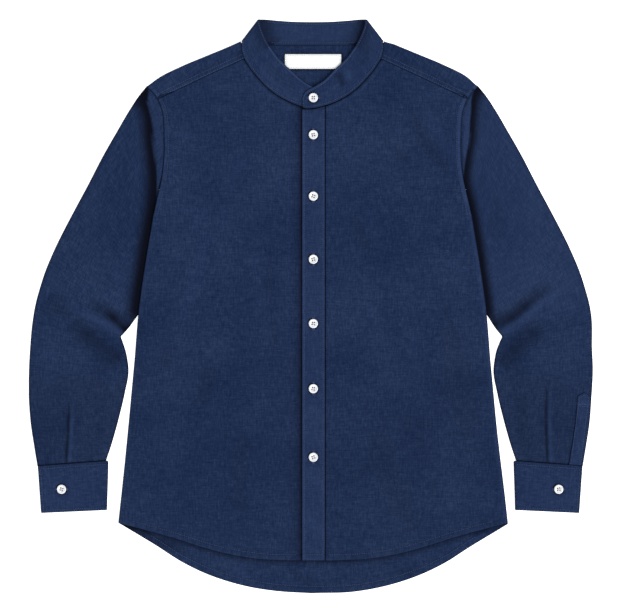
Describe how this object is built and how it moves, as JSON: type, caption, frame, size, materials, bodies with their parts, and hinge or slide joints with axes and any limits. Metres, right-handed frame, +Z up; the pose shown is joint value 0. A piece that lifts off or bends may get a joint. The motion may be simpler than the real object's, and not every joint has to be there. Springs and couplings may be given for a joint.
{
  "type": "mandarin collar shirt",
  "caption": "Long-sleeved button-front shirt with a standing band collar and a curved hem, laid flat and face up with its sleeves beside the body.",
  "frame": {"origin": "on the surface the shirt lies on, under the middle of its outline", "axes": "+Z up out of the shirt's front, +Y towards the collar, +X towards the wearer's left sleeve"},
  "size_m": [0.7789, 0.7925, 0.0096],
  "materials": {
    "cloth": "matt navy slub plain-weave cotton and linen",
    "label": "white woven tape with a slight sheen",
    "button": "glossy white polyester, four holes"
  },
  "bodies": {
    "root": {"back_panel": "cloth", "yoke": "cloth", "front_right": "cloth", "front_left": "cloth", "placket": "cloth", "collar_band": "cloth", "sleeve_right": "cloth", "sleeve_left": "cloth", "cuff_right": "cloth", "cuff_left": "cloth", "sleeve_placket_right": "cloth", "sleeve_placket_left": "cloth", "neck_label": "label", "button_collar": "button", "button_1": "button", "button_2": "button", "button_3": "button", "button_4": "button", "button_5": "button", "button_6": "button", "button_cuff_right": "button", "button_cuff_left": "button"}
  },
  "joints": []
}
